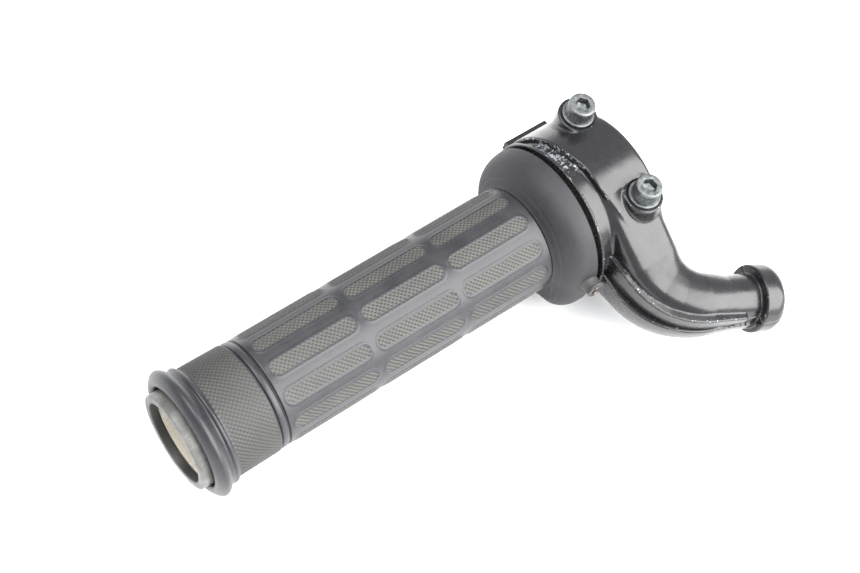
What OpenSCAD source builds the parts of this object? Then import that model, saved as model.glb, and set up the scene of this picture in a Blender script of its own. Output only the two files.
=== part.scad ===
// Heated twist grip for the right-hand end of a motorcycle handlebar, with its clamp housing.
//
// Millimetres. The origin is on the handlebar's axis inside the clamp. +X runs along the bar
// towards its open end, +Y points forward, the way the cable snout leaves, and +Z points up,
// towards the heads of the two clamp screws. The grip and its tube turn about X in the housing.

/* [Handlebar] */
// Outside diameter of the handlebar that the clamp holds
bar_d = 22.2; // [22.2, 25.4]
// Radial gap between the bar and the turning tube
tube_gap = 0.3; // [0.1:0.05:0.4]

/* [Grip] */
// Distance from the origin to the grip's open end
grip_end = 151.3; // [140:0.1:160]
// Radius of the rubber sleeve at its inboard end
sleeve_r_in = 17.3; // [16.8:0.1:18]
// Radius of the rubber sleeve at its outer end
sleeve_r_out = 16.9; // [16.5:0.1:17.5]
// Radius of the bead round the rubber's outer end
bead_r = 20; // [19:0.1:21]
// Radius of the domed flange beside the housing
flange_r = 25.6; // [24:0.1:26]

/* [Throttle tube] */
// Wall thickness of the nylon tube
tube_wall = 1.6; // [1.2:0.1:2]
// Outside radius of the cable drum
drum_r = 19.5; // [18:0.1:20]
// Radius of the floor of each cable groove
groove_r = 17.4; // [16:0.1:17.8]
// Width of each cable groove
groove_w = 2.4; // [2:0.1:3]

/* [Housing] */
// Outside radius of the housing's round case
case_r = 26; // [25:0.1:27]
// Radius of the drum chamber
chamber_r = 21; // [20.5:0.1:22]
// Inboard face of the housing
case_in = -9; // [-11:0.5:-8]
// Outboard face of the housing
case_out = 16.4; // [15.5:0.1:17]
// Gap between the halves behind the bar, which the screws close on it
clamp_gap = 0.4; // [0.2:0.1:0.8]

/* [Snout] */
// Outside radius of the snout's pipe
pipe_r = 8; // [7:0.1:9]
// Radius of the cable passage
duct_r = 5.2; // [4:0.1:5.5]
// Radius of the snout's bend along its middle
bend_r = 18; // [15:0.5:22]
// Angle through which the snout bends inboard
bend_turn = 65; // [45:1:75]
// Outside radius of the collar round the snout's mouth
collar_r = 10.8; // [9:0.1:11]
// Length of that collar
collar_len = 8; // [6:0.5:12]

/* [Screws] */
// Thread diameter of the clamp screws
screw_d = 5; // [5, 6]
// Height of the seats under the screw heads
seat_z = 23.2; // [22:0.1:25]
// Length of each screw below its head
screw_len = 32; // [25:1:38]

/* [Heater] */
// Number of turns in the heating ribbon
heater_turns = 15; // [9:2:21]
// Width of the heating ribbon
ribbon_w = 2.2; // [1:0.1:3]
// Radius of each insulated heater wire
wire_r = 0.9; // [0.7:0.1:1.1]

/* [Hidden] */
$fn = 96;

// Bar, tube and clamp
bar_r = bar_d / 2;
tube_bore_r = bar_r + tube_gap;
tube_r = tube_bore_r + tube_wall;
clamp_out = 3;
chamber_in = clamp_out;
chamber_out = 14.8;
wall_bore_r = 16.2;

// Tube stations along X
tube_in = 3.6;
drum_in = 4;
drum_out = 14.2;
pull_x = 6.6;
return_x = 11.6;
neck_r = 15.5;
disc_in = 18.6;
disc_out = 20.6;
disc_r = 22.4;
tube_out = grip_end - 2.8;
nipple_r = 3;
nipple_at_r = 15.8;
nipple_turn = 200;

// Grip stations along X
flange_in = 17.7;
sleeve_in = 28.9;
ring_in = 123.6;
band_in = 126.5;
band_out = 141.1;
bead_x = 146;
rubber_out = 148.6;
rubber_bore_r = tube_r + 0.9;
collar_out_r = 15;
collar_neck_r = 14.2;
collar_in = 141.5;
mouth_bore_r = 12.4;

// Snout: straight out of the case, round the bend, then a tip that dips a little
bend_centre = [-16, 32];
tip_heading = 157;
tip_dip = 9.6;
tip_len = 16.9;
bend_end = [bend_centre[0] + bend_r * cos(bend_turn), bend_centre[1] + bend_r * sin(bend_turn), 0];
tip_dir = [cos(tip_heading) * cos(tip_dip), sin(tip_heading) * cos(tip_dip), -sin(tip_dip)];
tip_step = bend_end + tip_len * tip_dir;
mouth_len = 7;
snout_start_y = 10;
snout_steps = 18;
collar_grip = 0.25;

// The snout's section at stations along it: reach outboard of the middle line above the parting
// plane and below it, reach inboard, height above it, depth below it, and how square the section
// is (2 is an ellipse)
snout_outer = [[0, 9.6], [1, 9.8], [2, 8.6], [2.5, 8]];
snout_outer_low = [[0, 10], [1, 11.6], [1.45, 10.9], [2, 9.8], [2.6, 9], [3, 8.6]];
snout_inner = [[0, 9.4], [0.4, 10.5], [1.35, 10.6], [2, 9.2], [2.5, 8]];
snout_up = [[0, 23.3], [0.4, 18.6], [0.66, 15.4], [1, 11.6], [1.35, 9.6], [2, 8.3], [2.5, 8]];
snout_down = [[0, 23.1], [0.4, 21.5], [0.66, 18.6], [1, 15.6], [1.35, 14], [1.6, 13], [2, 11.2], [2.5, 9.5],
              [3, 9]];
snout_square = [[0, 3.4], [0.66, 3], [1, 2.5], [1.6, 2]];

// Flat tab at the parting line behind the bar
tab_in = -5;
tab_out = 12;
tab_y = -28.5;
tab_half_z = 1.8;

// Screws
screw_x = -2;
screw_y = [-17.1, 15.3];
screw_r = screw_d / 2;
head_r = 4.25;
head_h = 5;
socket_r = 2.31;
socket_deep = 2.6;
washer_r = 5;
washer_t = 0.8;
boss_r = 6.3;
lower_boss_z = -19;
hole_r = 2.7;
tap_r = 2.52;
dowel_r = 1.5;
dowel_at = [[-6.2, -20.5], [9.3, 26.5]];
dowel_half = 3.5;

// Heater
film_r = tube_r + 0.05;
film_t = 0.25;
ribbon_r = film_r + film_t + 0.05;
ribbon_t = 0.3;
heater_in = 36;
heater_out = 122;
heater_pitch = (heater_out - heater_in - ribbon_w) / (heater_turns - 1);
lead_at = 8;
lead_x = 20.3;
lead_out_r = 28.4;
ribbon_gap_w = 7;
ribbon_link_arc = 9;
tab_len = 4;
tab_t = 0.35;
tab_w = 2;
wire_half_gap = 1.3;
wire_low_r = tube_r + 1.95;
wire_bend_r = 5.45;
wire_bend_x = lead_x + wire_bend_r;
wire_bend_at_r = wire_low_r + wire_bend_r;
wire_bend_steps = 8;
wire_out = 35.4;
wire_sides = 16;
core_r = 0.45;
core_shown = 2;
core_out = 36.9;
shrink_r = 1.15;
grommet_r = 2.6;
grommet_in_r = disc_r + 0.5;
pocket_half_w = 2.5;
pocket_out_r = 16.6;
hump_at = -25;
hump_mid_r = 20.6;
hump_r = 5.8;
hump_out = 27;

// A solid cylinder along X from x0 to x1
module along_x(x0, x1, r) {
    translate([x0, 0, 0])
        rotate([0, 90, 0])
            cylinder(h = x1 - x0, r = r);
}

// A tube along X
module ring_x(x0, x1, r_in, r_out) {
    difference() {
        along_x(x0, x1, r_out);
        along_x(x0 - 1, x1 + 1, r_in);
    }
}

// A solid of revolution about X from [x, radius] points
module turned(points) {
    rotate([0, 90, 0])
        rotate_extrude()
            polygon([for (p = points) [p[1], p[0]]]);
}

// A solid cylinder from point a to point b
module rod(a, b, r) {
    d = b - a;
    len = norm(d);
    translate(a)
        rotate([0, acos(d[2] / len), atan2(d[1], d[0])])
            cylinder(h = len, r = r);
}

// A closed solid through rings of points, each ring with the same number of points
module lofted(rings) {
    sides = len(rings[0]);
    last = len(rings) - 1;
    polyhedron(
        points = [for (ring = rings) for (p = ring) p],
        faces = concat(
            [[for (j = [0 : sides - 1]) j]],
            [for (i = [0 : last - 1]) for (j = [0 : sides - 1])
                [i * sides + j, (i + 1) * sides + j, (i + 1) * sides + (j + 1) % sides]],
            [for (i = [0 : last - 1]) for (j = [0 : sides - 1])
                [i * sides + j, (i + 1) * sides + (j + 1) % sides, i * sides + (j + 1) % sides]],
            [[for (j = [sides - 1 : -1 : 0]) last * sides + j]]),
        convexity = 4);
}

// Place and heading of the snout's middle at station t: 0 to 1 straight, 1 to 2 the bend, 2 to 3
// the tip, which goes on past 3
function snout_place(t) =
    t < 1 ? [bend_centre[0] + bend_r, snout_start_y + t * (bend_centre[1] - snout_start_y), 0] :
    t < 2 ? [bend_centre[0] + bend_r * cos((t - 1) * bend_turn),
             bend_centre[1] + bend_r * sin((t - 1) * bend_turn), 0] :
    bend_end + (t - 2) * tip_len * tip_dir;
function snout_heading(t) = t < 1 ? 90 : t < 2 ? 90 + (t - 1) * bend_turn : tip_heading;

// One ring square to the snout: reach outboard above and below the plane, reach inboard, height,
// depth, squareness, sides
function snout_ring(t, outer, outer_low, inner, up, down, square, sides) =
    let (side = snout_heading(t) - 90)
    [for (j = [0 : sides - 1])
        let (a = -360 * (j + 0.5) / sides,
             out = sin(a) > 0 ? outer : outer_low,
             shift = (out - inner) / 2,
             across = shift + (out + inner) / 2 * sign(cos(a)) * pow(abs(cos(a)), 2 / square),
             rise = (sin(a) > 0 ? up : down) * sign(sin(a)) * pow(abs(sin(a)), 2 / square))
        snout_place(t) + [across * cos(side), across * sin(side), rise]];

// The snout's outside: broad and deep where it leaves the round case, round at the collar
module snout_shell() {
    lofted([for (i = [0 : snout_steps])
        let (t = (3 + collar_grip) * i / snout_steps)
        snout_ring(t, lookup(t, snout_outer), lookup(t, snout_outer_low), lookup(t, snout_inner),
                   lookup(t, snout_up), lookup(t, snout_down), lookup(t, snout_square), 24)]);
}

// The cable passage through the snout
module snout_duct() {
    lofted([for (i = [0 : snout_steps])
        snout_ring(0.3 + 3.1 * i / snout_steps, duct_r, duct_r, duct_r, duct_r, duct_r, 2, 20)]);
}

// Both halves of the housing as one solid, before the split
module housing_body() {
    difference() {
        union() {
            turned([[case_in, 0], [case_in, case_r - 1], [case_in + 1, case_r], [11.5, case_r],
                    [12.2, case_r - 1.6], [14.2, case_r - 1.6], [14.8, case_r - 0.2],
                    [case_out, case_r - 0.2], [case_out, 0]]);
            snout_shell();
            rod(tip_step, tip_step + collar_len * tip_dir, collar_r);
            for (y = screw_y)
                translate([screw_x, y, lower_boss_z])
                    cylinder(h = seat_z - lower_boss_z, r = boss_r);
            translate([tab_in, tab_y, -tab_half_z])
                cube([tab_out - tab_in, 8, 2 * tab_half_z]);
        }
        along_x(case_in - 1, clamp_out + 1, bar_r);
        along_x(chamber_in, chamber_out, chamber_r);
        along_x(chamber_out - 1, case_out + 1, wall_bore_r);
        snout_duct();
        rod(tip_step + (collar_len - mouth_len) * tip_dir, tip_step + (collar_len + 1) * tip_dir,
            duct_r + 0.8);
        for (at = dowel_at)
            translate([at[0], at[1], -dowel_half - 0.2])
                cylinder(h = 2 * dowel_half + 0.4, r = dowel_r + 0.01);
    }
}

module housing_upper() {
    color([0.05, 0.05, 0.055])
        difference() {
            intersection() {
                housing_body();
                translate([-60, -60, 0])
                    cube([120, 140, 60]);
            }
            for (y = screw_y) {
                translate([screw_x, y, -1])
                    cylinder(h = seat_z + 10, r = hole_r);
                translate([screw_x, y, seat_z])
                    cylinder(h = 10, r = washer_r + 0.6);
            }
            translate([-60, -60, -1])
                cube([120, 60 - bar_r + 2, 1 + clamp_gap]);
        }
}

module housing_lower() {
    color([0.05, 0.05, 0.055])
        difference() {
            intersection() {
                housing_body();
                translate([-60, -60, -60])
                    cube([120, 140, 60]);
            }
            for (y = screw_y)
                translate([screw_x, y, lower_boss_z - 1])
                    cylinder(h = 40, r = tap_r);
        }
}

module clamp_screws() {
    color([0.62, 0.62, 0.6])
        for (y = screw_y)
            translate([screw_x, y, seat_z + washer_t])
                difference() {
                    union() {
                        cylinder(h = head_h, r = head_r);
                        translate([0, 0, -screw_len])
                            cylinder(h = screw_len + 1, r = screw_r);
                    }
                    translate([0, 0, head_h - socket_deep])
                        cylinder(h = socket_deep + 1, r = socket_r, $fn = 6);
                }
}

module screw_washers() {
    color([0.7, 0.7, 0.68])
        for (y = screw_y)
            translate([screw_x, y, seat_z])
                difference() {
                    cylinder(h = washer_t, r = washer_r);
                    translate([0, 0, -1])
                        cylinder(h = washer_t + 2, r = screw_r + 0.15);
                }
}

module alignment_dowels() {
    color([0.7, 0.7, 0.72])
        for (at = dowel_at)
            translate([at[0], at[1], -dowel_half])
                cylinder(h = 2 * dowel_half, r = dowel_r);
}

// A cable groove round the drum
module groove(x) {
    ring_x(x - groove_w / 2, x + groove_w / 2, groove_r, drum_r + 1);
}

module throttle_tube() {
    color([0.9, 0.87, 0.78])
        difference() {
            union() {
                along_x(tube_in, drum_out + 0.8, neck_r);
                along_x(drum_in, drum_out, drum_r);
                along_x(drum_out, disc_out, neck_r);
                along_x(disc_in, disc_out, disc_r);
                turned([[disc_out - 1, 0], [disc_out - 1, neck_r], [disc_out + 3, tube_r + 0.4],
                        [disc_out + 8, tube_r], [tube_out, tube_r], [tube_out, 0]]);
            }
            along_x(tube_in - 1, tube_out + 1, tube_bore_r);
            groove(pull_x);
            groove(return_x);
            for (x = [pull_x, return_x])
                rotate([nipple_turn, 0, 0])
                    translate([x, nipple_at_r + 0.8, 0])
                        rotate([0, 90, 0])
                            cylinder(h = 3.2, r = nipple_r, center = true);
            rotate([lead_at, 0, 0])
                translate([disc_in - 0.2, neck_r + 1.1, -grommet_r])
                    cube([disc_out - disc_in + 0.4, disc_r - neck_r, 2 * grommet_r]);
        }
}

module heater_film() {
    color([0.75, 0.5, 0.15])
        ring_x(heater_in - 3, heater_out + 3, film_r, film_r + film_t);
}

// The slot between two neighbouring turns of the ribbon, from x for an arc about the bar
module ribbon_slot(x, from_angle, arc) {
    translate([x, 0, 0])
        rotate([from_angle, 0, 0])
            rotate([90, 0, 90])
                rotate_extrude(angle = arc)
                    translate([ribbon_r - 1, 0])
                        square([ribbon_t + 2, heater_pitch - ribbon_w]);
}

// The ribbon folds back and forth: each slot starts in the gap and stops short of its other side
module heater_trace() {
    gap_arc = 2 * asin(ribbon_gap_w / 2 / ribbon_r);
    slot_arc = 360 - gap_arc / 2 - ribbon_link_arc;
    color([0.8, 0.45, 0.3])
        difference() {
            ring_x(heater_in, heater_out, ribbon_r, ribbon_r + ribbon_t);
            rotate([lead_at, 0, 0])
                translate([heater_in - 1, ribbon_r - 3, -ribbon_gap_w / 2])
                    cube([heater_out - heater_in + 2, 6, ribbon_gap_w]);
            for (i = [0 : heater_turns - 2])
                ribbon_slot(heater_in + i * heater_pitch + ribbon_w,
                            lead_at + (i % 2 == 0 ? 0 : 360 - slot_arc), slot_arc);
        }
}

// Places children at one of the two heater wires, which run side by side
module beside_lead(side) {
    rotate([lead_at, 0, 0])
        translate([0, 0, side * wire_half_gap])
            children();
}

module heater_terminals() {
    color([0.8, 0.8, 0.78])
        for (side = [-1, 1])
            beside_lead(side)
                translate([heater_in - tab_len - 0.3, ribbon_r, -tab_w / 2])
                    cube([tab_len, tab_t, tab_w]);
}

// One ring of a wire at x and a distance from the bar, square to the wire's heading in degrees
function wire_ring(x, at_r, heading) =
    [for (j = [0 : wire_sides - 1])
        let (a = -360 * j / wire_sides)
        [x - wire_r * cos(a) * sin(heading), at_r + wire_r * cos(a) * cos(heading),
         wire_r * sin(a)]];

// A heater wire: in from its outlet, round a bend and along the tube to the heater
module wire_path(side) {
    beside_lead(side)
        lofted(concat(
            [wire_ring(lead_x, lead_out_r, -90)],
            [for (i = [0 : wire_bend_steps])
                let (a = 180 + 90 * i / wire_bend_steps)
                wire_ring(wire_bend_x + wire_bend_r * cos(a),
                          wire_bend_at_r + wire_bend_r * sin(a), a - 270)],
            [wire_ring(wire_out - tab_len, wire_low_r, 0)]));
}

// The two straight stretches of a wire where its core shows: at the outlet and at the inner end
module core_ends(side, r, extra) {
    beside_lead(side) {
        rod([lead_x, lead_out_r - core_shown, 0], [lead_x, lead_out_r + extra, 0], r);
        rod([wire_out - tab_len - core_shown, wire_low_r, 0], [wire_out - 1, wire_low_r, 0], r);
    }
}

module insulated_wire(side) {
    color([0.08, 0.08, 0.08])
        difference() {
            wire_path(side);
            core_ends(side, core_r + 0.02, 1);
        }
}

module lead_live() {
    insulated_wire(-1);
}

module lead_earth() {
    insulated_wire(1);
}

module lead_cores() {
    color([0.85, 0.5, 0.3])
        for (side = [-1, 1])
            core_ends(side, core_r, 0);
}

module solder_sleeves() {
    color([0.1, 0.1, 0.12])
        for (side = [-1, 1])
            beside_lead(side)
                difference() {
                    rod([wire_out - tab_len + 0.1, wire_low_r, 0], [wire_out, wire_low_r, 0],
                        shrink_r);
                    rod([wire_out - tab_len - 1, wire_low_r, 0], [wire_out + 1, wire_low_r, 0],
                        core_r + 0.05);
                }
}

// The pocket in the flange where the two wires bend from the grommet to the sleeve
module wire_pocket() {
    rotate([lead_at, 0, 0])
        translate([0, 0, -pocket_half_w])
            linear_extrude(2 * pocket_half_w)
                polygon([[lead_x - 1.2, tube_r - 1], [lead_x - 1.2, grommet_in_r + 0.3],
                         [lead_x + 1.6, grommet_in_r + 0.3], [wire_bend_x - 0.6, pocket_out_r],
                         [sleeve_in + 1, pocket_out_r], [sleeve_in + 1, tube_r - 1]]);
}

module lead_grommet() {
    color([0.12, 0.12, 0.12])
        difference() {
            rotate([lead_at, 0, 0])
                rod([lead_x, grommet_in_r, 0], [lead_x, lead_out_r - 0.4, 0], grommet_r);
            for (side = [-1, 1])
                beside_lead(side)
                    rod([lead_x, grommet_in_r - 1, 0], [lead_x, lead_out_r + 1, 0], wire_r + 0.05);
        }
}

module grip_rubber() {
    color([0.17, 0.17, 0.17])
        difference() {
            turned([[sleeve_in, rubber_bore_r], [sleeve_in, sleeve_r_in - 0.5],
                    [sleeve_in + 0.6, sleeve_r_in], [ring_in, sleeve_r_out],
                    [ring_in + 0.4, sleeve_r_out - 0.5], [ring_in + 0.8, sleeve_r_out + 0.2],
                    [band_in - 0.4, sleeve_r_out + 0.2], [band_in, sleeve_r_out - 0.4],
                    [band_in + 0.4, sleeve_r_out + 0.3], [band_out, sleeve_r_out + 0.4],
                    [band_out + 0.5, 18.3], [band_out + 1.3, 18.3], [band_out + 1.9, 17.7],
                    [bead_x - 1.8, 19], [bead_x - 0.6, bead_r - 0.1], [bead_x + 0.6, bead_r - 0.1],
                    [bead_x + 1.8, 19.1], [rubber_out, 17.6], [rubber_out, 16.2],
                    [bead_x, 15.8], [collar_in + 1, collar_out_r + 0.2],
                    [collar_in - 0.5, rubber_bore_r]]);
            for (side = [-1, 1])
                beside_lead(side)
                    rod([sleeve_in - 1, wire_low_r, 0], [core_out, wire_low_r, 0], shrink_r + 0.05);
        }
}

module flange_cover() {
    color([0.17, 0.17, 0.17])
        difference() {
            union() {
                turned([[disc_out + 0.1, 0], [disc_out + 0.1, disc_r + 0.15], [flange_in, 23.4],
                        [flange_in, flange_r - 0.6], [flange_in + 0.8, flange_r],
                        [20.6, flange_r - 0.1], [23.2, 24.9], [25.2, 23.7], [26.7, 22],
                        [27.8, 20], [28.3, 18.2], [sleeve_in - 0.05, 17.6],
                        [sleeve_in - 0.05, 0]]);
                rotate([hump_at, 0, 0])
                    translate([0, hump_mid_r, 0])
                        turned([[disc_out + 0.2, 0], [disc_out + 0.2, hump_r - 0.2],
                                [disc_out + 1, hump_r], [hump_out - 2, hump_r - 1],
                                [hump_out, hump_r - 3.4], [hump_out, 0]]);
            }
            turned([[disc_out, 0], [disc_out, neck_r + 0.1], [disc_out + 3.1, tube_r + 0.6],
                    [disc_out + 8.1, tube_r + 0.1], [40, tube_r + 0.1], [40, 0]]);
            along_x(sleeve_in - 0.05, 40, 30);
            rotate([lead_at, 0, 0])
                rod([lead_x, grommet_in_r - 0.1, 0], [lead_x, lead_out_r, 0], grommet_r + 0.05);
            wire_pocket();
        }
}

module end_collar() {
    color([0.62, 0.62, 0.6])
        difference() {
            turned([[collar_in, 0], [collar_in, collar_neck_r], [bead_x + 0.4, collar_neck_r],
                    [bead_x + 0.4, collar_out_r - 0.5], [bead_x + 1, collar_out_r],
                    [grip_end - 0.5, collar_out_r], [grip_end, collar_out_r - 0.5],
                    [grip_end, 0]]);
            along_x(collar_in - 1, tube_out + 0.05, tube_r + 0.03);
            along_x(tube_out - 1, grip_end + 1, mouth_bore_r);
        }
}

housing_upper();
housing_lower();
clamp_screws();
screw_washers();
alignment_dowels();
throttle_tube();
heater_film();
heater_trace();
heater_terminals();
lead_live();
lead_earth();
lead_cores();
solder_sleeves();
lead_grommet();
grip_rubber();
flange_cover();
end_collar();
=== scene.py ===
"""Looks of a heated throttle grip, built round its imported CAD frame.

Lengths are in millimetres until a mesh is made. X runs along the bar to the open end, Y points
forward and Z up, as in the frame. Angles about X are counted from +Y towards +Z, in degrees.
"""
import math

import bpy
import numpy as np
from mathutils import Matrix, Vector


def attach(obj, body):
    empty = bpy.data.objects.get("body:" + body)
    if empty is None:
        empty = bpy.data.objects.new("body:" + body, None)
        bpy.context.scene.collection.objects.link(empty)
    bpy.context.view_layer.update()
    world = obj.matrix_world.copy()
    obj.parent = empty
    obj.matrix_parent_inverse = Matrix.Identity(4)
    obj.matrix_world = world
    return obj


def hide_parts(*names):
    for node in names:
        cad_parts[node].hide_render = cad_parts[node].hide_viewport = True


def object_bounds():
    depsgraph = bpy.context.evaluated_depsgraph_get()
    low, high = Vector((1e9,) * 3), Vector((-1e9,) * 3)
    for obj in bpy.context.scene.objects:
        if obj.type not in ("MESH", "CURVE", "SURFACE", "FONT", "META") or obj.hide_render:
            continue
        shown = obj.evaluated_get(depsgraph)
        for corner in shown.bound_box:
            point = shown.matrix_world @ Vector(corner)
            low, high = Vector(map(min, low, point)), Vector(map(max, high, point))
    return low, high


MM = 0.001

# Housing
CASE_R = 26.0
CASE_IN = -9.0
CASE_OUT = 16.4
LIP_IN = 15.4
CHANNEL_R = 23.7
CHAMBER_R = 21.0
CHAMBER_IN = 3.0
CHAMBER_OUT = 14.8
WALL_BORE_R = 16.2
BAR_R = 11.1
CLAMP_GAP = 0.4
FACET_TILT = math.radians(29)
FACET_AT = 25.4
TAB_X = 3.5
TAB_HALF_X = 8.5
TAB_Y = -28.5
TAB_HALF_Z = 1.8

# Snout
BEND_X = -16.0
BEND_Y = 32.0
BEND_R = 18.0
BEND_TURN = math.radians(67)
TIP_HEADING = math.radians(157)
TIP_DIP = math.radians(9.6)
STEP_AT = (-23.73, 54.82, -2.82)
COLLAR_R = 10.8
COLLAR_LEN = 8.0
COLLAR_ROUND = 3.8
DUCT_R = 5.2
MOUTH_R = 6.0
MOUTH_LEN = 7.0
LEDGE_END = 2.72
SNOUT_Y = 10.0

# Screws
SCREW_X = -2.0
SCREW_Y = (-17.1, 15.3)
SEAT_Z = 23.2
WASHER_T = 0.8
WASHER_R = 5.0
HEAD_H = 5.0
HEAD_R = 4.22
SOCKET_R = 2.31
SHANK_LEN = 32.0
THREAD_R = 2.46
THREAD_DEEP = 0.44
THREAD_PITCH = 0.8
THREAD_RINGS = 110
HOLE_R = 2.66
BOSS_R = 6.2
BOSS_FOOT_Z = -18.5
SINK_R = 5.3

# Grip
ROWS = 12
ROW_SAMPLES = 24
SIDES = ROWS * ROW_SAMPLES
FIRST_ROW = 25.0
PAD_LEN = 29.0
PAD_GAP = 2.0
PAD_WIDTH = 5.4
PAD_START = 31.2
SLEEVE_IN = 28.9
RUBBER_BORE = 13.9
BAND_IN = 126.9
DOT_SAMPLES = 4
SWELL_AT = -25
TEAR_AT = -115

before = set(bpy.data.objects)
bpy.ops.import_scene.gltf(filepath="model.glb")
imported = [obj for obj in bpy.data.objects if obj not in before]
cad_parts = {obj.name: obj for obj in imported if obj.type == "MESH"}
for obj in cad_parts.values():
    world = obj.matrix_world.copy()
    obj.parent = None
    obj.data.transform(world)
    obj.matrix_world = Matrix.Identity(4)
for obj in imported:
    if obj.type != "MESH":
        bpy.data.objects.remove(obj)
cad_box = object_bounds()


# ---------------------------------------------------------------- shapes as distance fields

def smooth_min(a, b, k):
    """The lower of two fields, rounded over k where they meet."""
    h = np.clip(0.5 + 0.5 * (b - a) / k, 0, 1)
    return b + (a - b) * h - k * h * (1 - h)


def smooth_max(a, b, k):
    """The higher of two fields, rounded over k where they meet."""
    return -smooth_min(-a, -b, k)


def ramp(value, low, high):
    """0 below low, 1 above high and a smooth rise between."""
    t = np.clip((value - low) / (high - low), 0, 1)
    return t * t * (3 - 2 * t)


def band_edge(angle):
    """Outboard edge of the raised band at each angle about the bar."""
    at = [-180, -110, -70, -30, 0, 20, 45, 56, 65, 74, 91, 103, 116, 152, 180]
    edge = [12.6, 12.4, 9, 2, 0, 1.4, 5.6, 7.1, 8.5, 9.6, 9.8, 10.6, 11.0, 12.2, 12.6]
    return np.interp(angle, at, edge)


def snout_frame(x, y, z):
    """Station along the snout, distance outboard of its middle line, and height above it."""
    turn = np.arctan2(y - BEND_Y, x - BEND_X)
    reach = np.hypot(x - BEND_X, y - BEND_Y)
    end_x = BEND_X + BEND_R * math.cos(BEND_TURN)
    end_y = BEND_Y + BEND_R * math.sin(BEND_TURN)
    along = (x - end_x) * math.cos(TIP_HEADING) + (y - end_y) * math.sin(TIP_HEADING)
    across = (x - end_x) * math.sin(TIP_HEADING) - (y - end_y) * math.cos(TIP_HEADING)
    straight = y < BEND_Y
    bend = ~straight & (turn < BEND_TURN)
    tip_len = math.hypot(STEP_AT[0] - end_x, STEP_AT[1] - end_y)
    station = np.where(straight, (y - SNOUT_Y) / (BEND_Y - SNOUT_Y),
                       np.where(bend, 1 + turn / BEND_TURN, 2 + along / tip_len))
    side = np.where(straight, x - BEND_X - BEND_R, np.where(bend, reach - BEND_R, across))
    drop = np.where(station > 2, STEP_AT[2] * (station - 2), 0)
    return station, side, z - drop


SNOUT_STATION = [0, 0.4, 0.66, 1, 1.35, 1.6, 2, 2.5, 3.4]
SNOUT_OUTER = [8.4, 8.4, 8.3, 8.1, 7.6, 7.4, 7.6, 7.8, 8.0]
SNOUT_OUTER_LOW = [10, 10.6, 11.0, 11.6, 11.2, 10.6, 9.8, 9.1, 8.4]
SNOUT_INNER = [9.6, 10.5, 10.8, 10.8, 10.6, 10.2, 9.2, 8.0, 8.0]
SNOUT_UP = [23.5, 18.6, 15.4, 11.6, 9.6, 8.9, 8.3, 8.0, 8.0]
SNOUT_DOWN = [24, 21.5, 18.6, 15.6, 14.0, 13.0, 11.2, 9.5, 8.6]
SNOUT_POWER = [7, 6, 5.2, 4.2, 3.2, 2.7, 2.3, 2, 2]
LEDGE_STATION = [0, 0.9, 1.5, 2.4, 3.0]
LEDGE_HEIGHT = [8.0, 7.6, 5.6, 4.6, 4.2]
LEDGE_OUTER = [9.8, 9.8, 9.4, 8.7, 8.5]


def snout_field(station, side, height):
    """The snout's outside: broad and deep at the case, round at the collar."""
    above = np.interp(station, SNOUT_STATION, SNOUT_OUTER)
    below = np.interp(station, SNOUT_STATION, SNOUT_OUTER_LOW)
    outer = np.where(height > 0, above, below)
    inner = np.interp(station, SNOUT_STATION, SNOUT_INNER)
    up = np.interp(station, SNOUT_STATION, SNOUT_UP)
    down = np.interp(station, SNOUT_STATION, SNOUT_DOWN)
    power = np.interp(station, SNOUT_STATION, SNOUT_POWER)
    power = np.where(height > 0, power, 2.4)
    half = (outer + inner) / 2
    offset = side - (outer - inner) / 2
    tall = np.where(height > 0, up, down)
    share = (np.abs(offset / half) ** power + np.abs(height / tall) ** power) ** (1 / power)
    length = np.hypot(offset, height) + 1e-3
    return length - length / np.maximum(share, 1e-3)


def ledge_field(station, side, height, y):
    """A thicker skirt on the outer side of the upper half, with a sharp upper edge."""
    top = np.interp(station, LEDGE_STATION, LEDGE_HEIGHT)
    reach = np.interp(station, LEDGE_STATION, LEDGE_OUTER)
    skirt = smooth_max(side - reach, height - top, 0.35)
    skirt = np.maximum(np.maximum(skirt, -4 - side), -1 - height)
    skirt = np.maximum(skirt, 9 - y)
    return np.maximum(skirt, station - LEDGE_END)


def collar_parts(x, y, z):
    """Distance from the tip's axis and distance along it from the collar's step."""
    axis = (math.cos(TIP_HEADING) * math.cos(TIP_DIP), math.sin(TIP_HEADING) * math.cos(TIP_DIP),
            -math.sin(TIP_DIP))
    px = x - STEP_AT[0]
    py = y - STEP_AT[1]
    pz = z - STEP_AT[2]
    along = px * axis[0] + py * axis[1] + pz * axis[2]
    square = px * px + py * py + pz * pz - along * along
    return np.sqrt(np.maximum(square, 0)), along


def case_field(x, y, z):
    """The round case: raised band, lower channel and thin outboard lip."""
    radius = np.hypot(y, z)
    angle = np.degrees(np.arctan2(z, y))
    facet = math.sin(FACET_TILT) * y + math.cos(FACET_TILT) * z - FACET_AT
    band = smooth_max(radius - CASE_R, CASE_IN - x, 2.2)
    band = smooth_max(band, facet, 0.8)
    band = smooth_max(band, x - band_edge(angle), 0.7)
    floor = smooth_max(radius - CHANNEL_R, CASE_IN + 0.3 - x, 2.0)
    floor = smooth_max(floor, x - LIP_IN - 0.6, 0.3)
    lip = smooth_max(radius - CASE_R + 0.1, x - CASE_OUT, 0.35)
    lip = smooth_max(lip, LIP_IN - x, 0.2)
    return smooth_min(smooth_min(band, floor, 0.8), lip, 0.35)


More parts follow.
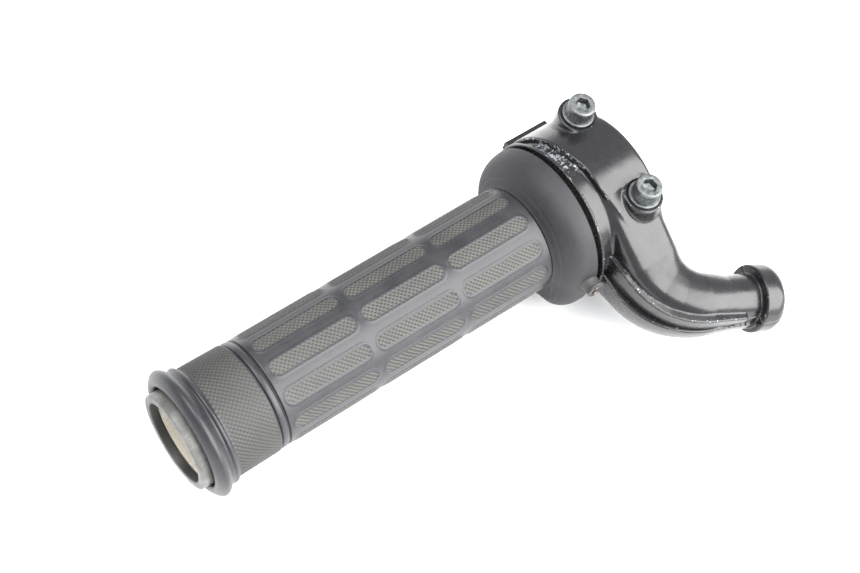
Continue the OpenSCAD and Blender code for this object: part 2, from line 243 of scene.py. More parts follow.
def housing_field(x, y, z):
    """Both halves of the housing as one body."""
    station, side, height = snout_frame(x, y, z)
    body = snout_field(station, side, height)
    body = np.maximum(body, 8 - y)
    tube_r, along = collar_parts(x, y, z)
    body = np.maximum(body, along - 3)
    upper_skirt = ledge_field(station, side, height, y)
    outside = smooth_min(case_field(x, y, z), body, 1.6)
    outside = np.where(z > -0.5, np.minimum(outside, upper_skirt), outside)
    collar = smooth_max(tube_r - COLLAR_R, along - COLLAR_LEN, COLLAR_ROUND)
    collar = smooth_max(collar, -along, 0.6)
    outside = smooth_min(outside, collar, 0.5)
    for screw_y in SCREW_Y:
        post = np.hypot(x - SCREW_X, y - screw_y)
        boss = smooth_max(post - BOSS_R, z - SEAT_Z, 0.7)
        boss = smooth_max(boss, BOSS_FOOT_Z - z, 2.5)
        outside = smooth_min(outside, boss, 1.2)
        sink = smooth_max(post - SINK_R, SEAT_Z - z, 0.2)
        outside = smooth_max(outside, -sink, 0.3)
        outside = smooth_max(outside, HOLE_R - post, 0.4)
    tab = np.maximum(np.maximum(np.abs(x - TAB_X) - TAB_HALF_X, TAB_Y - y), y + 20)
    tab = smooth_max(tab, np.abs(z) - TAB_HALF_Z, 0.6)
    outside = smooth_min(outside, tab, 1.0)
    radius = np.hypot(y, z)
    chamber = np.maximum(radius - CHAMBER_R, np.abs(x - (CHAMBER_IN + CHAMBER_OUT) / 2)
                         - (CHAMBER_OUT - CHAMBER_IN) / 2)
    hollow = np.minimum(np.maximum(radius - BAR_R, x - 4), chamber)
    hollow = np.minimum(hollow, np.maximum(radius - WALL_BORE_R, 14 - x))
    duct = np.maximum(np.hypot(side, height) - DUCT_R, 15 - y)
    mouth = np.maximum(tube_r - MOUTH_R, COLLAR_LEN - MOUTH_LEN - along)
    hollow = np.minimum(hollow, np.minimum(duct, mouth))
    return smooth_max(outside, -hollow, 0.5)


def upper_field(x, y, z):
    """The half that carries the screw heads."""
    floor = np.where(y < -BAR_R + 2, CLAMP_GAP, 0.04)
    return smooth_max(housing_field(x, y, z), floor - z, 0.45)


def lower_field(x, y, z):
    """The half with the deep belly, which the screws are tapped into."""
    return smooth_max(housing_field(x, y, z), z + 0.04, 0.45)


def surface_net(field, low, high, step):
    """Points and quads of the surface where a field is zero, from a grid of samples."""
    axes = [np.arange(low[i], high[i] + step, step) for i in range(3)]
    value = field(*np.meshgrid(*axes, indexing="ij"))
    count = np.array(value.shape)
    inside = value < 0
    corners = [(i, j, k) for i in (0, 1) for j in (0, 1) for k in (0, 1)]
    filled = sum(inside[i:count[0] - 1 + i, j:count[1] - 1 + j, k:count[2] - 1 + k].astype(np.int8)
                 for i, j, k in corners)
    cell = np.argwhere((filled > 0) & (filled < 8))
    number = -np.ones(filled.shape, np.int64)
    number[tuple(cell.T)] = np.arange(len(cell))
    at_corner = {c: value[tuple((cell + c).T)] for c in corners}
    total = np.zeros((len(cell), 3))
    crossings = np.zeros(len(cell))
    for a in corners:
        for axis in range(3):
            if a[axis] == 1:
                continue
            b = tuple(1 if i == axis else a[i] for i in range(3))
            va = at_corner[a]
            vb = at_corner[b]
            cut = (va < 0) != (vb < 0)
            part = np.where(cut, va / np.where(cut, va - vb, 1), 0)
            point = np.tile(np.array(a, float), (len(cell), 1))
            point[:, axis] += part
            total += point * cut[:, None]
            crossings += cut
    points = np.array(low) + (cell + total / crossings[:, None]) * step
    quads = []
    for axis in range(3):
        u, v = [i for i in range(3) if i != axis]
        lower = [slice(1, -1)] * 3
        upper = [slice(1, -1)] * 3
        lower[axis] = slice(0, -1)
        upper[axis] = slice(1, None)
        first = inside[tuple(lower)]
        second = inside[tuple(upper)]
        base = np.argwhere(first != second)
        flip = second[tuple(base.T)]
        base[:, u] += 1
        base[:, v] += 1
        ring = []
        for du, dv in ((-1, -1), (0, -1), (0, 0), (-1, 0)):
            place = base.copy()
            place[:, u] += du
            place[:, v] += dv
            ring.append(number[tuple(place.T)])
        quad = np.stack(ring, 1)
        if axis == 1:
            flip = ~flip
        quad[flip] = quad[flip][:, ::-1]
        quads.append(quad)
    return settle(field, points, step), np.concatenate(quads)


def settle(field, points, step):
    """Moves points the last short way onto the field's zero."""
    h = step * 0.25
    for _ in range(2):
        value = field(*points.T)
        slope = np.stack([(field(*(points + d).T) - field(*(points - d).T)) / (2 * h)
                          for d in np.eye(3) * h], 1)
        move = value[:, None] * slope / np.maximum((slope ** 2).sum(1), 0.25)[:, None]
        size = np.linalg.norm(move, axis=1, keepdims=True)
        points = points - move * np.minimum(1, step * 0.3 / np.maximum(size, 1e-9))
    return points


# ---------------------------------------------------------------- meshes

def add_piece(name, points, faces, material, body, stands_for=(), marks=None, crease=40):
    """A mesh object from points in millimetres, smooth but for edges sharper than crease."""
    mesh = bpy.data.meshes.new(name)
    mesh.from_pydata((np.asarray(points) * MM).tolist(), [], [list(face) for face in faces])
    mesh.update()
    for key, values in (marks or {}).items():
        layer = mesh.attributes.new(key, "FLOAT", "POINT")
        layer.data.foreach_set("value", np.asarray(values, np.float32).ravel())
    mesh.shade_smooth()
    mesh.set_sharp_from_angle(angle=math.radians(crease))
    mesh.materials.append(material)
    piece = bpy.data.objects.new(name, mesh)
    bpy.context.scene.collection.objects.link(piece)
    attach(piece, body)
    if stands_for:
        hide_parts(*stands_for)
    return piece


def closed_lathe(profile, sides, relief=None):
    """Points and quads of a ring-shaped solid about X from a closed [x, radius] outline."""
    profile = np.array(profile, float)
    rows = len(profile)
    turn = np.radians(np.arange(sides) * 360 / sides)
    radius = np.repeat(profile[:, 1][:, None], sides, 1)
    if relief is not None:
        radius = radius + relief
    x = np.repeat(profile[:, 0][:, None], sides, 1)
    points = np.stack([x, radius * np.cos(turn), radius * np.sin(turn)], -1).reshape(-1, 3)
    i, j = np.meshgrid(np.arange(rows), np.arange(sides), indexing="ij")
    ni = (i + 1) % rows
    nj = (j + 1) % sides
    quads = np.stack([i * sides + j, i * sides + nj, ni * sides + nj, ni * sides + j], -1)
    return points, quads.reshape(-1, 4)


def spun(profile, sides, relief=None):
    """Points and faces of a solid about Z from an open [radius, z] outline, closed by end fans."""
    profile = np.array(profile, float)
    rows = len(profile)
    turn = np.arange(sides) * 2 * math.pi / sides
    radius = np.repeat(profile[:, 0][:, None], sides, 1)
    if relief is not None:
        radius = radius + relief
    z = np.repeat(profile[:, 1][:, None], sides, 1)
    points = np.stack([radius * np.cos(turn), radius * np.sin(turn), z], -1).reshape(-1, 3)
    faces = []
    for i in range(rows - 1):
        for j in range(sides):
            nj = (j + 1) % sides
            faces.append([i * sides + j, i * sides + nj, (i + 1) * sides + nj, (i + 1) * sides + j])
    faces.append([j for j in range(sides - 1, -1, -1)])
    faces.append([(rows - 1) * sides + j for j in range(sides)])
    return points, faces


def walk(corners, step):
    """Points every step or less along a line through corners."""
    points = []
    for (x0, r0), (x1, r1) in zip(corners[:-1], corners[1:]):
        parts = max(1, round(math.hypot(x1 - x0, r1 - r0) / step))
        for i in range(parts):
            points.append([x0 + (x1 - x0) * i / parts, r0 + (r1 - r0) * i / parts])
    points.append(list(corners[-1]))
    return points


def eased(points, rounds):
    """An open line with its corners rounded off, its ends kept."""
    line = np.array(points, float)
    for _ in range(rounds):
        a = line[:-1] * 0.75 + line[1:] * 0.25
        b = line[:-1] * 0.25 + line[1:] * 0.75
        line = np.concatenate([line[:1], np.stack([a, b], 1).reshape(-1, 2), line[-1:]])
    return line.tolist()


# ---------------------------------------------------------------- materials

class Surface:
    """A node material under construction, on object coordinates in metres."""

    def __init__(self, name):
        self.material = bpy.data.materials.new(name)
        self.material.use_nodes = True
        self.tree = self.material.node_tree
        self.tree.nodes.clear()
        self.shader = self.tree.nodes.new("ShaderNodeBsdfPrincipled")
        output = self.tree.nodes.new("ShaderNodeOutputMaterial")
        self.tree.links.new(self.shader.outputs[0], output.inputs[0])
        self.place = self.tree.nodes.new("ShaderNodeTexCoord").outputs["Object"]

    def link(self, source, target):
        self.tree.links.new(source, target)

    def set(self, **values):
        for key, value in values.items():
            self.shader.inputs[key.replace("_", " ")].default_value = value
        return self

    def noise(self, scale, detail=4, rough=0.6, stretch=None):
        """A noise from 0 to 1, scale in cycles per metre, optionally stretched along an axis."""
        source = self.place
        if stretch:
            spread = self.tree.nodes.new("ShaderNodeMapping")
            spread.inputs["Scale"].default_value = stretch
            self.link(source, spread.inputs["Vector"])
            source = spread.outputs[0]
        texture = self.tree.nodes.new("ShaderNodeTexNoise")
        texture.inputs["Scale"].default_value = scale
        texture.inputs["Detail"].default_value = detail
        texture.inputs["Roughness"].default_value = rough
        self.link(source, texture.inputs["Vector"])
        return texture.outputs["Fac"]

    def mark(self, name):
        """The value that a mesh carries at each point under a name."""
        source = self.tree.nodes.new("ShaderNodeAttribute")
        source.attribute_name = name
        return source.outputs["Fac"]

    def range(self, value, low, high, to_low=0.0, to_high=1.0):
        """Value from low..high to to_low..to_high, clamped."""
        mapped = self.tree.nodes.new("ShaderNodeMapRange")
        mapped.inputs["From Min"].default_value = low
        mapped.inputs["From Max"].default_value = high
        mapped.inputs["To Min"].default_value = to_low
        mapped.inputs["To Max"].default_value = to_high
        self.link(value, mapped.inputs["Value"])
        return mapped.outputs[0]

    def maths(self, kind, a, b):
        done = self.tree.nodes.new("ShaderNodeMath")
        done.operation = kind
        for socket, value in zip(done.inputs, (a, b)):
            if isinstance(value, (int, float)):
                socket.default_value = value
            else:
                self.link(value, socket)
        return done.outputs[0]

    def mix(self, share, low, high):
        """A colour between low and high, each a colour or another node's output."""
        mixed = self.tree.nodes.new("ShaderNodeMix")
        mixed.data_type = "RGBA"
        self.link(share, mixed.inputs[0])
        for socket, value in ((mixed.inputs[6], low), (mixed.inputs[7], high)):
            if isinstance(value, tuple):
                socket.default_value = (*value, 1)
            else:
                self.link(value, socket)
        return mixed.outputs[2]

    def bump(self, height, depth_mm, strength=1.0):
        node = self.tree.nodes.new("ShaderNodeBump")
        node.inputs["Distance"].default_value = depth_mm * MM
        node.inputs["Strength"].default_value = strength
        self.link(height, node.inputs["Height"])
        self.link(node.outputs[0], self.shader.inputs["Normal"])

    def feed(self, **sources):
        for key, source in sources.items():
            self.link(source, self.shader.inputs[key.replace("_", " ")])
        return self.material


def black_paint():
    """Gloss black paint, chipped to grey metal along worn edges, with fine scratches and dust."""
    s = Surface("black_paint")
    s.set(IOR=1.5, Coat_Weight=0.15, Coat_Roughness=0.15)
    worn = s.mark("wear")
    patch = s.noise(520, 6, 0.72)
    chips = s.range(s.maths("ADD", s.maths("MULTIPLY", worn, 0.30), patch), 0.795, 0.82)
    scratches = s.range(s.noise(1100, 3, 0.6, (1, 0.12, 0.2)), 0.72, 0.78)
    scraped = s.maths("MULTIPLY", scratches, s.range(worn, 0.3, 0.8))
    bare = s.maths("MAXIMUM", chips, s.maths("MULTIPLY", scraped, 0.6))
    dust = s.range(s.noise(2600, 2, 0.5), 0.68, 0.80, 0.0, 0.22)
    paint = s.mix(s.noise(160, 4), (0.0055, 0.0055, 0.0062), (0.0150, 0.0145, 0.0160))
    dusty = s.mix(dust, paint, (0.20, 0.20, 0.195))
    metal = s.mix(s.noise(1500, 3), (0.30, 0.32, 0.35), (0.66, 0.68, 0.72))
    colour = s.mix(bare, dusty, metal)
    gloss = s.range(s.noise(240, 5), 0.3, 0.7, 0.20, 0.34)
    rough = s.maths("MAXIMUM", gloss, s.range(bare, 0, 1, 0.0, 0.45))
    s.bump(s.maths("SUBTRACT", s.range(s.noise(1100, 4), 0, 1, 0, 0.35), bare), 0.03)
    return s.feed(Base_Color=colour, Roughness=rough, Metallic=s.range(bare, 0, 1, 0, 0.8))


def rubber():
    """Dark rubber: dusty on the raised web of its pads, with painted shade in the pits between the
    dots, greasy sheen on the smooth ribs.
    """
    s = Surface("rubber")
    s.set(IOR=1.5)
    pad = s.mark("pad")
    raised = s.mark("raised")
    smear = s.noise(95, 5, 0.65)
    fine = s.noise(2400, 3, 0.6)
    ribs = s.mix(s.range(smear, 0.3, 0.7), (0.012, 0.012, 0.0145), (0.026, 0.026, 0.030))
    web = s.mix(s.range(smear, 0.3, 0.7), (0.060, 0.060, 0.056), (0.100, 0.098, 0.090))
    # painted shade: where the raised mark is low, in the pits between the dots, the colour is near
    # black
    dotted = s.mix(raised, (0.012, 0.012, 0.012), web)
    colour = s.mix(pad, ribs, dotted)
    specks = s.range(fine, 0.66, 0.8, 0, 0.5)
    colour = s.mix(specks, colour, (0.17, 0.165, 0.155))
    rough = s.maths("ADD", s.range(smear, 0.3, 0.7, 0.30, 0.44), s.maths("MULTIPLY", pad, 0.30))
    rough = s.maths("ADD", rough, s.maths("MULTIPLY", s.mark("dull"), 0.26))
    s.bump(fine, 0.05, 0.6)
    return s.feed(Base_Color=colour, Roughness=rough)


def zinc(name, dark, light, rough_low, rough_high):
    """Dull mottled plated steel with white bloom in patches."""
    s = Surface(name)
    patch = s.noise(700, 6, 0.7)
    colour = s.mix(s.range(patch, 0.35, 0.65), dark, light)
    bloom = s.range(s.noise(1500, 4, 0.7), 0.60, 0.72, 0, 0.8)
    colour = s.mix(bloom, colour, (0.36, 0.38, 0.39))
    rough = s.range(patch, 0.3, 0.7, rough_low, rough_high)
    s.bump(patch, 0.05)
    return s.feed(Base_Color=colour, Roughness=rough, Metallic=s.range(bloom, 0, 1, 0.95, 0.35))


def moulded(name, dark, light, rough, grain_mm=0.02, speck=None):
    """Moulded plastic or coated wire: cloudy colour, fine grain, optional dirt specks."""
    s = Surface(name)
    colour = s.mix(s.range(s.noise(180, 5), 0.3, 0.7), dark, light)
    if speck:
        colour = s.mix(s.range(s.noise(1300, 4, 0.7), 0.62, 0.70, 0, 0.8), colour, speck)
    s.bump(s.noise(1800, 3), grain_mm)
    return s.feed(Base_Color=colour, Roughness=s.range(s.noise(400, 4), 0.3, 0.7, rough - 0.08,
                                                       rough + 0.08))


def scuffed_plastic():
    """Grey plastic of the end ring, clouded and scuffed, with painted shade that turns it near
    black inside its mouth.
    """
    s = Surface("grey_plastic")
    cloud = s.mix(s.range(s.noise(150, 5, 0.65), 0.35, 0.65), (0.075, 0.075, 0.070),
                  (0.155, 0.155, 0.145))
    scuff = s.range(s.noise(900, 5, 0.7, (0.4, 1, 1)), 0.60, 0.68, 0, 0.6)
    scuffed = s.mix(scuff, cloud, (0.25, 0.25, 0.24))
    # painted shade: inside the mouth the colour is mixed to near black, standing in for the shade
    # in that recess
    colour = s.mix(s.mark("mouth_shade"), scuffed, (0.022, 0.021, 0.019))
    s.bump(s.noise(1500, 4), 0.03)
    return s.feed(Base_Color=colour, Roughness=s.range(s.noise(400, 4), 0.3, 0.7, 0.36, 0.52))


def drawn_metal(name, dark, light, rough):
    """Drawn or turned metal, with fine streaks along X."""
    s = Surface(name)
    s.set(Metallic=1.0)
    streak = s.noise(2500, 3, 0.5, (0.05, 1, 1))
    s.bump(streak, 0.01)
    return s.feed(Base_Color=s.mix(streak, dark, light),
                  Roughness=s.range(streak, 0.3, 0.7, rough - 0.06, rough + 0.06))


PAINT = black_paint()
RUBBER = rubber()
ZINC = zinc("zinc_steel", (0.10, 0.105, 0.11), (0.23, 0.24, 0.24), 0.34, 0.58)
COLLAR = scuffed_plastic()
NYLON = moulded("nylon", (0.62, 0.57, 0.48), (0.80, 0.75, 0.66), 0.38, 0.03, (0.20, 0.15, 0.10))
BOOT = moulded("grommet_rubber", (0.035, 0.035, 0.035), (0.07, 0.068, 0.065), 0.55, 0.04,
               (0.18, 0.17, 0.16))
WIRE = moulded("black_wire", (0.02, 0.02, 0.02), (0.05, 0.05, 0.05), 0.45)
CARRIED = {
    "alignment_dowels": drawn_metal("bright_steel", (0.5, 0.5, 0.52), (0.66, 0.66, 0.68), 0.25),
    "throttle_tube": NYLON,
    "heater_film": moulded("polyimide", (0.42, 0.20, 0.03), (0.60, 0.33, 0.06), 0.28),
    "heater_trace": drawn_metal("resistance_ribbon", (0.40, 0.26, 0.18), (0.58, 0.40, 0.30), 0.35),
    "heater_terminals": drawn_metal("tinned_tab", (0.55, 0.55, 0.53), (0.72, 0.72, 0.70), 0.32),
    "lead_live": WIRE,
    "lead_earth": WIRE,
    "lead_cores": drawn_metal("copper", (0.62, 0.30, 0.18), (0.85, 0.50, 0.34), 0.25),
    "solder_sleeves": moulded("heat_shrink", (0.02, 0.02, 0.022), (0.05, 0.05, 0.055), 0.4),
}
for node_name, finish in CARRIED.items():
    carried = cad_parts[node_name]
    carried.data.materials.clear()
    carried.data.materials.append(finish)


# ---------------------------------------------------------------- housing

def wear_marks(points):
    """How likely the paint is to be gone, from 0 to 1, at each point of the housing."""
    x, y, z = points.T
    radius = np.hypot(y, z)
    angle = np.degrees(np.arctan2(z, y))
    station, side, height = snout_frame(x, y, z)
    tube_r, along = collar_parts(x, y, z)
    high = ramp(radius, 24.8, 25.6)
    above = z > 2
    edge = 0.80 * np.exp(-((x - band_edge(angle)) / 0.30) ** 2) * high * above * ramp(angle, 15, 40)
    lip = 0.82 * np.exp(-((x - 15.9) / 0.35) ** 2) * high
    sector = ramp(angle, 82, 95) * (1 - ramp(angle, 140, 155))
    floor = 0.85 * (x > band_edge(angle) - 0.3) * (x < 15) * (radius > 22.5) * above * sector
    ledge_z = np.interp(station, LEDGE_STATION, LEDGE_HEIGHT)
    ledge = 0.72 * np.exp(-((height - ledge_z) / 0.22) ** 2) * ramp(side, 7.2, 8.2) * (y > 12)
    seam = 0.55 * np.exp(-(z / 0.35) ** 2) * ramp(radius, 22, 26)
    rim = 0.7 * np.exp(-((along - 0.1) / 0.35) ** 2) * (tube_r > 9.6)
    seat = np.zeros(len(x))
    for screw_y in SCREW_Y:
        post = np.hypot(x - SCREW_X, y - screw_y)
        seat = np.maximum(seat, 0.7 * np.exp(-((post - 5.8) / 0.35) ** 2) * (z > 22.4))
    inboard = 0.45 * np.exp(-((x - CASE_IN) / 0.5) ** 2) * high
    return np.max([edge, lip, floor, ledge, seam, rim, seat, inboard], axis=0)


def housing_half(name, node_name, field, low_z, high_z):
    step = 0.36
    points, faces = surface_net(field, (-35, -30, low_z), (18, 67, high_z), step)
    add_piece(name, points, faces, PAINT, "housing", (node_name,),
              {"wear": wear_marks(points)}, crease=50)


housing_half("upper_casting", "housing_upper", upper_field, -1.5, 27.5)
housing_half("lower_casting", "housing_lower", lower_field, -27, 1.5)


# ---------------------------------------------------------------- screws and washers

def screw(name, screw_y, turn):
    """A socket cap screw: threaded shank, knurled head, rounded rim, six-sided socket."""
    sides = 96
    seat = SEAT_Z + WASHER_T
    thread_foot = seat - SHANK_LEN + 0.5
    thread = [[THREAD_R, thread_foot + 0.2 * i] for i in range(THREAD_RINGS)]
    head = [[2.48, seat - 9], [2.48, seat - 0.05], [3.9, seat], [4.15, seat + 0.12],
            [HEAD_R, seat + 0.4], [HEAD_R, seat + 1.0], [HEAD_R, seat + 2.0],
            [HEAD_R, seat + 3.0], [HEAD_R, seat + 3.9], [4.2, seat + 4.25], [4.1, seat + 4.6],
            [3.95, seat + 4.85], [3.75, seat + 4.97], [3.5, seat + HEAD_H], [2.65, seat + HEAD_H],
            [2.45, seat + HEAD_H - 0.08], [SOCKET_R, seat + HEAD_H - 0.3],
            [SOCKET_R, seat + 2.5], [1.6, seat + 2.1], [0.5, seat + 1.9]]
    tip = [[0.5, seat - SHANK_LEN], [1.9, seat - SHANK_LEN + 0.05], [2.3, seat - SHANK_LEN + 0.3]]
    profile = tip + thread + head
    theta = np.arange(sides) * 2 * math.pi / sides
    relief = np.zeros((len(profile), sides))
    first = len(tip) + len(thread)
    for i in range(len(tip), first):
        phase = (profile[i][1] / THREAD_PITCH - theta / (2 * math.pi)) % 1
        relief[i] = -THREAD_DEEP * np.abs(2 * phase - 1)
    knurl = np.where(np.arange(sides) % 3 == 0, -0.16, 0.0)
    relief[first + 4:first + 9] = knurl
    hexagon = math.cos(math.pi / 6) / np.cos((theta % (math.pi / 3)) - math.pi / 6)
    for i in range(first + 15, first + 18):
        relief[i] = profile[i][0] * (hexagon - 1)
    points, faces = spun(profile, sides, relief)
    c, s = math.cos(math.radians(turn)), math.sin(math.radians(turn))
    x = points[:, 0] * c - points[:, 1] * s + SCREW_X
    y = points[:, 0] * s + points[:, 1] * c + screw_y
    add_piece(name, np.stack([x, y, points[:, 2]], 1), faces, ZINC, "housing",
              ("clamp_screws",), crease=35)


def washer(name, screw_y):
    """A plain washer, its edges rolled over where it was punched."""
    sides = 96
    z = SEAT_Z
    top = z + WASHER_T
    profile = [[HOLE_R, z + 0.1], [2.75, z], [4.8, z], [4.98, z + 0.12], [WASHER_R, z + 0.6],
               [4.93, z + 0.74], [4.75, top], [2.8, top], [HOLE_R, z + 0.7]]
    ring, quads = closed_lathe([[p[1], p[0]] for p in eased(profile, 1)], sides)
    points = np.stack([ring[:, 1] + SCREW_X, ring[:, 2] + screw_y, ring[:, 0]], 1)
    add_piece(name, points, quads, ZINC, "housing", ("screw_washers",), crease=35)


screw("rear_screw", SCREW_Y[0], 12)
screw("front_screw", SCREW_Y[1], 34)
washer("rear_washer", SCREW_Y[0])
washer("front_washer", SCREW_Y[1])


# ---------------------------------------------------------------- rubber grip

def pad_distance(x, angle, radius):
    """Distance outside the nearest pad's outline, and the place inside that pad."""
    step = 360 / ROWS
    turn = (angle - FIRST_ROW + step / 2) % step - step / 2
    across = np.radians(turn) * radius
    pitch = PAD_LEN + PAD_GAP
    number = np.clip(np.round((x - PAD_START - PAD_LEN / 2) / pitch), 0, 2)
    along = x - PAD_START - PAD_LEN / 2 - number * pitch
    reach = PAD_LEN / 2 - PAD_WIDTH / 2
    gap = np.hypot(np.maximum(np.abs(along) - reach, 0), across) - PAD_WIDTH / 2
    return gap, along, across


def grip_sleeve():
    """The rubber grip: twelve rows of three dotted pads, a knurled band and an end bead."""
    fine = 0.373
    outer = walk([(SLEEVE_IN + 0.3, 17.25), (123.4, 16.9)], fine)
    ring = eased([(123.5, 16.85), (123.7, 16.35), (124.0, 16.35), (124.3, 17.0), (126.0, 17.05),
                  (126.3, 16.4), (126.6, 16.4)], 2)
    band = walk([(BAND_IN, 17.15), (140.8, 17.25)], fine)
    bead = eased([(141.0, 17.3), (141.3, 18.2), (142.2, 18.3), (142.7, 17.7), (143.6, 18.2),
                  (144.6, 19.3), (145.6, 19.95), (146.6, 19.9), (147.6, 19.0), (148.4, 17.8),
                  (148.55, 16.8), (148.2, 16.1)], 2)
    inside = [[147, 15.75], [146, 15.6], [143.5, 15.3], [142.4, 15.1], [141.4, 14.1],
              [140.9, RUBBER_BORE], [110, RUBBER_BORE], [70, RUBBER_BORE],
              [SLEEVE_IN + 0.1, RUBBER_BORE], [SLEEVE_IN, 14.4], [SLEEVE_IN, 16.6]]
    profile = np.array(outer + ring + band + bead + inside)
    angle = np.arange(SIDES) * 360 / SIDES + FIRST_ROW
    relief = np.zeros((len(profile), SIDES))
    pad = np.zeros((len(profile), SIDES))
    raised = np.zeros((len(profile), SIDES))
    rows = len(outer)
    x = profile[:rows, 0][:, None]
    radius = profile[:rows, 1][:, None]
    gap, along, across = pad_distance(x, angle[None, :], radius)
    pitch = 2 * math.pi * 17.1 / SIDES * DOT_SAMPLES
    dots = 0.5 + 0.5 * np.cos(2 * math.pi * along / pitch) * \
        np.cos(2 * math.pi * across / pitch)
    inner = 1 - ramp(gap, -0.75, -0.30)
    outline = np.exp(-((gap + 0.1) / 0.28) ** 2)
    web = ramp(dots, 0.22, 0.62)
    relief[:rows] = inner * (-0.42 + 0.50 * web) + 0.20 * outline
    pad[:rows] = inner
    # the raised mark also carries painted shade: the rubber colours the pits, where it is low, near
    # black
    raised[:rows] = web
    start = rows + len(ring)
    stop = start + len(band)
    bx = profile[start:stop, 0][:, None]
    turn = np.radians(angle - FIRST_ROW)[None, :] * 17.1
    knurl = 0.5 + 0.5 * np.cos(2 * math.pi * (bx - BAND_IN) / pitch) * \
        np.cos(2 * math.pi * turn / pitch)
    knurl = ramp(knurl, 0.25, 0.65)
    edges = ramp(bx, BAND_IN, 127.4) * (1 - ramp(bx, 140.2, 140.7))
    relief[start:stop] = (0.40 * knurl - 0.3) * edges
    pad[start:stop] = 0.9 * edges
    # painted shade in the knurl's pits, through the same raised mark
    raised[start:stop] = 0.75 * knurl
    lip_rows = slice(stop + 20, stop + len(bead))
    torn = np.exp(-(((angle - TEAR_AT + 180) % 360 - 180) / 26) ** 2)
    relief[lip_rows] -= 0.35 * torn[None, :] * (1 + 0.5 * np.sin(np.radians(angle * 11)))[None, :]
    turned = np.radians(FIRST_ROW)
    points, faces = closed_lathe(profile, SIDES, relief)
    c, s = math.cos(turned), math.sin(turned)
    y = points[:, 1] * c - points[:, 2] * s
    z = points[:, 1] * s + points[:, 2] * c
    points = np.stack([points[:, 0], y, z], 1)
    add_piece("grip_sleeve", points, faces, RUBBER, "throttle", ("grip_rubber",),
              {"pad": pad.ravel(), "raised": raised.ravel()}, crease=65)


def flange():
    """The domed rubber flange beside the housing, swollen below over the heater's lead."""
    sides = 240
    dome = eased([(17.75, 23.6), (17.72, 25.0), (17.95, 25.4), (18.5, 25.5), (20.6, 25.25),
                  (23.1, 24.5), (25.1, 23.1), (26.5, 21.3), (27.6, 19.4), (28.15, 18.3),
                  (28.4, 17.85), (28.6, 17.65), (28.84, 17.3)], 3)
    inner = [[28.84, 16.0], [28.8, 13.3], [24.2, 14.1], [20.9, 15.9], [20.75, 17.5],
             [20.75, 22.4], [19, 22.6], [18, 23.2]]
    profile = np.array(dome + inner)
    angle = (np.arange(sides) * 360 / sides + 180) % 360 - 180
    relief = np.zeros((len(profile), sides))
    rows = len(dome)
    x = profile[:rows, 0][:, None]
    radius = profile[:rows, 1][:, None]
    swell = 20.5 + 5.9 * np.sqrt(np.clip(1 - (np.maximum(x - 21.5, 0) / 6.5) ** 2, 0, 1))
    weight = np.exp(-(np.abs(angle - SWELL_AT) / 17) ** 3)[None, :]
    grown = np.maximum(swell - radius, 0) * weight * ramp(x, 17.7, 19.5)
    relief[:rows] = np.where(x > 28.7, 0, grown)
    seam = np.exp(-((x - 27.2) / 0.22) ** 2) * 0.18
    relief[:rows] -= seam
    points, faces = closed_lathe(profile, sides, relief)
    add_piece("flange", points, faces, RUBBER, "throttle", ("flange_cover",),
              {"dull": np.ones(len(points))}, crease=55)


def lead_boot():
    """The short flared boot where the heater's lead leaves the flange."""
    base = np.array([20.2, 24.4, 3.4])
    aim = Vector((0.0, 0.990, 0.139)).normalized()
    profile = eased([(3.4, -2.6), (3.2, -0.6), (2.7, 1.0), (2.65, 2.2), (2.95, 3.1), (3.0, 3.5),
                     (2.8, 3.75), (2.45, 3.7), (2.35, 3.5), (2.3, 3.35), (0.4, 3.3)], 2)
    points, faces = spun(profile, 64)
    spin = np.array(aim.to_track_quat("Z", "X").to_matrix())
    add_piece("lead_boot", points @ spin.T + base, faces, BOOT, "throttle",
              ("lead_grommet",), crease=50)


def end_ring():
    """The grey collar that closes the grip, with a step inside its mouth."""
    profile = [(141.6, 14.15), (146.3, 14.15), (146.42, 14.5), (146.6, 14.85), (147.0, 15.0),
               (149.6, 15.0), (150.7, 14.95), (151.1, 14.75), (151.28, 14.4), (151.3, 13.9),
               (151.3, 13.1), (151.2, 12.6), (150.8, 12.42), (148.62, 12.4), (148.56, 12.5),
               (148.56, 12.8), (148.5, 13.04), (141.6, 13.04)]
    points, faces = closed_lathe(profile, 192)
    radius = np.hypot(points[:, 1], points[:, 2])
    # painted shade: points inside the mouth, under a radius of 12.45 to 12.7 mm, are marked to be
    # coloured near black
    mouth_shade = 1 - ramp(radius, 12.45, 12.7)
    add_piece("end_ring", points, faces, COLLAR, "throttle", ("end_collar",),
              {"mouth_shade": mouth_shade}, crease=35)


grip_sleeve()
flange()
lead_boot()
end_ring()


# ---------------------------------------------------------------- floor, lights and camera

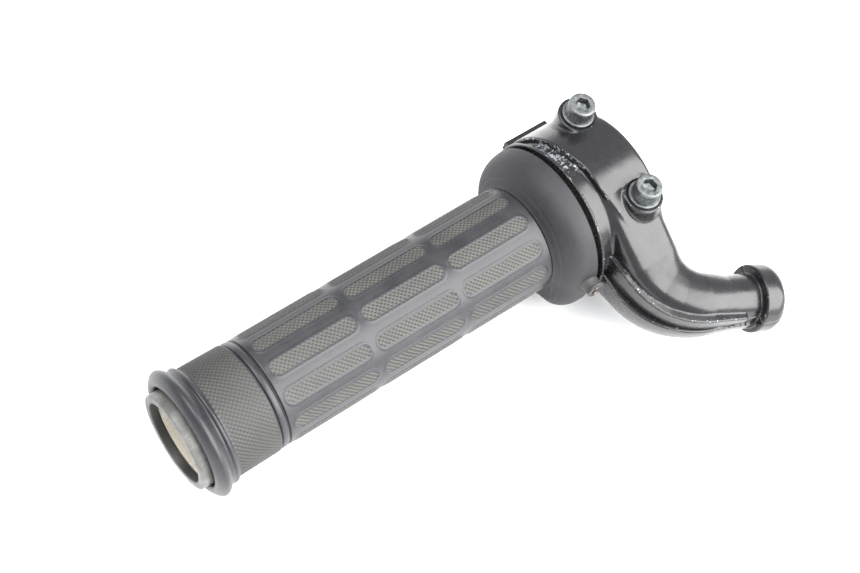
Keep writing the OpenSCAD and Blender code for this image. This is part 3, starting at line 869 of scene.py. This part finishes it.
def floor():
    """A pale studio sheet under the part, its tone faintly uneven."""
    s = Surface("studio_sheet")
    colour = s.mix(s.noise(9, 4), (0.86, 0.86, 0.86), (0.90, 0.90, 0.895))
    s.feed(Base_Color=colour, Roughness=s.range(s.noise(40, 3), 0, 1, 0.7, 0.85))
    mesh = bpy.data.meshes.new("studio_sheet")
    far = 4.0
    low = cad_box[0].z - 0.0002
    mesh.from_pydata([(-far, -far, low), (far, -far, low), (far, far, low), (-far, far, low)], [],
                     [(0, 1, 2, 3)])
    mesh.materials.append(s.material)
    sheet = bpy.data.objects.new("studio_sheet", mesh)
    bpy.context.scene.collection.objects.link(sheet)


def softbox(name, direction, distance, size, power):
    """An area light that faces the part from a direction."""
    data = bpy.data.lights.new(name, "AREA")
    data.shape = "RECTANGLE"
    data.size = size[0]
    data.size_y = size[1]
    data.energy = power
    light = bpy.data.objects.new(name, data)
    towards = Vector(direction).normalized()
    light.location = Vector((0.04, 0.01, 0)) + towards * distance
    light.rotation_mode = "QUATERNION"
    light.rotation_quaternion = towards.to_track_quat("Z", "Y")
    bpy.context.scene.collection.objects.link(light)


def camera():
    """The camera at the viewing angle of the part's picture, by place, aim, roll and lens."""
    data = bpy.data.cameras.new("camera")
    data.lens = 60.37
    data.sensor_width = 36
    data.dof.use_dof = False
    data.clip_start = 0.01
    data.clip_end = 20
    place = Vector((0.2286, 0.1072, 0.3822))
    aim = Vector((0.0524, -0.0068, -0.0210))
    roll = math.radians(23.04)
    back = (place - aim).normalized()
    level = Vector((0, 0, 1)).cross(back).normalized()
    rise = back.cross(level)
    right = level * math.cos(roll) + rise * math.sin(roll)
    up = back.cross(right)
    made = bpy.data.objects.new("camera", data)
    made.matrix_world = Matrix.Translation(place) @ Matrix((right, up, back)).transposed().to_4x4()
    bpy.context.scene.collection.objects.link(made)
    bpy.context.scene.camera = made


floor()
softbox("front_softbox", (-0.39, 0.62, 0.68), 1.1, (1.3, 1.3), 46)
softbox("top_softbox", (0.25, -0.35, 1.0), 1.3, (0.9, 0.9), 14)
camera()
world = bpy.data.worlds.new("studio")
world.use_nodes = True
world.node_tree.nodes["Background"].inputs["Color"].default_value = (0.95, 0.97, 1.0, 1)
world.node_tree.nodes["Background"].inputs["Strength"].default_value = 0.95
bpy.context.scene.world = world
bpy.context.scene.view_settings.view_transform = "Standard"
